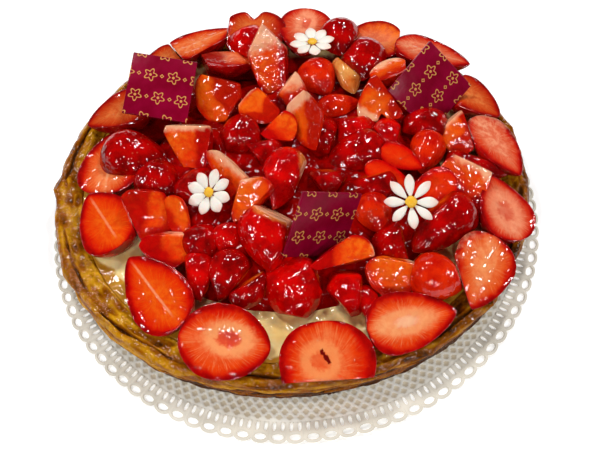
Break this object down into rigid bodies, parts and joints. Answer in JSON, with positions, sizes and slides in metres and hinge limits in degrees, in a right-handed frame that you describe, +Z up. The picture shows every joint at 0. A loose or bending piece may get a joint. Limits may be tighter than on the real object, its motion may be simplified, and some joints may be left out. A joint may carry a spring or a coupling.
{
  "type": "strawberry puff pastry tart",
  "caption": "Round open puff pastry tart filled with pastry cream and heaped with glazed cut strawberries, chocolate plaques and sugar daisies, on a lace paper doily.",
  "frame": {"origin": "under the middle of the doily, on the surface that it lies on", "axes": "+Z up; -Y is the front, the side nearest the viewer in the picture; +X is to the viewer's right"},
  "size_m": [0.26, 0.26, 0.0633],
  "materials": {
    "lace_paper": "matt white paper, pierced and embossed as lace",
    "puff_pastry": "baked golden brown, flaky, thinly glazed on top",
    "pastry_cream": "smooth pale yellow custard",
    "strawberry_deep": "dark red berries under clear gel",
    "strawberry_cut": "wet cut flesh under clear gel",
    "strawberry_skin": "seeded red skin under clear gel",
    "coloured_chocolate": "smooth wine red chocolate with small gold marks",
    "sugar_paste": "white sugar paste with a yellow centre"
  },
  "bodies": {
    "root": {"paper_doily": "lace_paper", "pastry_case": "puff_pastry", "custard": "pastry_cream", "strawberry_bed": "strawberry_deep", "ring_01": "strawberry_cut", "ring_02": "strawberry_cut", "ring_03": "strawberry_cut", "ring_04": "strawberry_cut", "ring_05": "strawberry_cut", "ring_06": "strawberry_cut", "ring_07": "strawberry_cut", "ring_08": "strawberry_cut", "ring_09": "strawberry_cut", "ring_10": "strawberry_cut", "ring_11": "strawberry_cut", "ring_12": "strawberry_cut", "ring_13": "strawberry_cut", "ring_14": "strawberry_cut", "ring_15": "strawberry_cut", "ring_16": "strawberry_cut", "ring_17": "strawberry_cut", "heap_01": "strawberry_skin", "heap_02": "strawberry_cut", "heap_03": "strawberry_cut", "heap_04": "strawberry_cut", "heap_05": "strawberry_cut", "heap_06": "strawberry_cut", "heap_07": "strawberry_cut", "heap_08": "strawberry_skin", "heap_09": "strawberry_skin", "heap_10": "strawberry_skin", "heap_11": "strawberry_skin", "heap_12": "strawberry_cut", "heap_13": "strawberry_cut", "heap_14": "strawberry_cut", "heap_15": "strawberry_skin", "heap_16": "strawberry_cut", "heap_17": "strawberry_cut", "heap_18": "strawberry_skin", "heap_19": "strawberry_cut", "heap_20": "strawberry_cut", "heap_21": "strawberry_skin", "heap_22": "strawberry_skin", "heap_23": "strawberry_cut", "heap_24": "strawberry_cut", "heap_25": "strawberry_skin", "heap_26": "strawberry_skin", "heap_27": "strawberry_cut", "heap_28": "strawberry_cut", "heap_29": "strawberry_skin", "heap_30": "strawberry_skin", "plaque_1": "coloured_chocolate", "plaque_2": "coloured_chocolate", "plaque_3": "coloured_chocolate", "daisy_1": "sugar_paste", "daisy_2": "sugar_paste", "daisy_3": "sugar_paste"}
  },
  "joints": []
}
